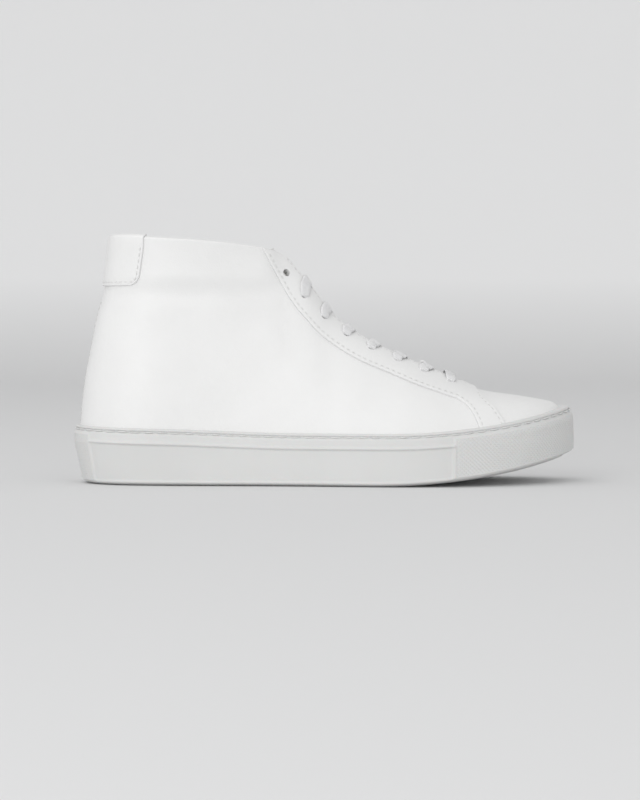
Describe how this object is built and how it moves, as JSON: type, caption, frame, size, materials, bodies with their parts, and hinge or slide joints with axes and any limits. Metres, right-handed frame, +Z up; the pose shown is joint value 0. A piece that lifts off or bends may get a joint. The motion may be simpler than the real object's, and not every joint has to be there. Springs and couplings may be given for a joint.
{
  "type": "high-top sneaker",
  "caption": "Plain white leather high-top sneaker for the right foot, laced, on a stitched rubber cupsole with a textured toe bumper.",
  "frame": {"origin": "on the ground, in the middle of the sole's footprint", "axes": "+X towards the toe, +Y towards the medial side, +Z up"},
  "size_m": [0.3002, 0.1067, 0.1461],
  "materials": {
    "upper_leather": "satin",
    "lining_leather": "matt",
    "outsole_rubber": "satin",
    "foam": "matt",
    "board": "matt",
    "stiffener": "matt",
    "tape": "matt",
    "lace_cotton": "matt",
    "aglet_film": "gloss",
    "thread": "satin"
  },
  "bodies": {
    "shoe": {"cupsole": "outsole_rubber", "stitching_sole": "thread", "midsole_insert": "foam", "insole_board": "board", "footbed_foam": "foam", "footbed_cover": "lining_leather", "heel_counter": "stiffener", "toe_puff": "stiffener", "collar_foam": "foam", "eyelet_tape_lateral": "tape", "eyelet_tape_medial": "tape", "interlining_lateral": "tape", "interlining_medial": "tape", "quarter_lining": "lining_leather", "vamp_lining": "lining_leather", "lace": "lace_cotton", "aglet_a": "aglet_film", "aglet_b": "aglet_film", "stitching_eyestay_lateral": "thread", "stitching_eyestay_medial": "thread", "stitching_heel_tab": "thread", "heel_tab": "upper_leather", "toe_vamp": "upper_leather", "quarter_lateral": "upper_leather", "quarter_medial": "upper_leather", "eyestay_lateral": "upper_leather", "eyestay_medial": "upper_leather"},
    "tongue": {"tongue_leather": "upper_leather", "tongue_foam": "foam", "tongue_lining": "lining_leather"}
  },
  "joints": [
    {"name": "tongue_hinge", "type": "hinge", "parent": "shoe", "child": "tongue", "pos_m": [0.096, 0, 0.0443], "axis": [0, 1, 0], "range_deg": [-8, 0], "stiffness_Nm_per_rad": 0.3}
  ]
}
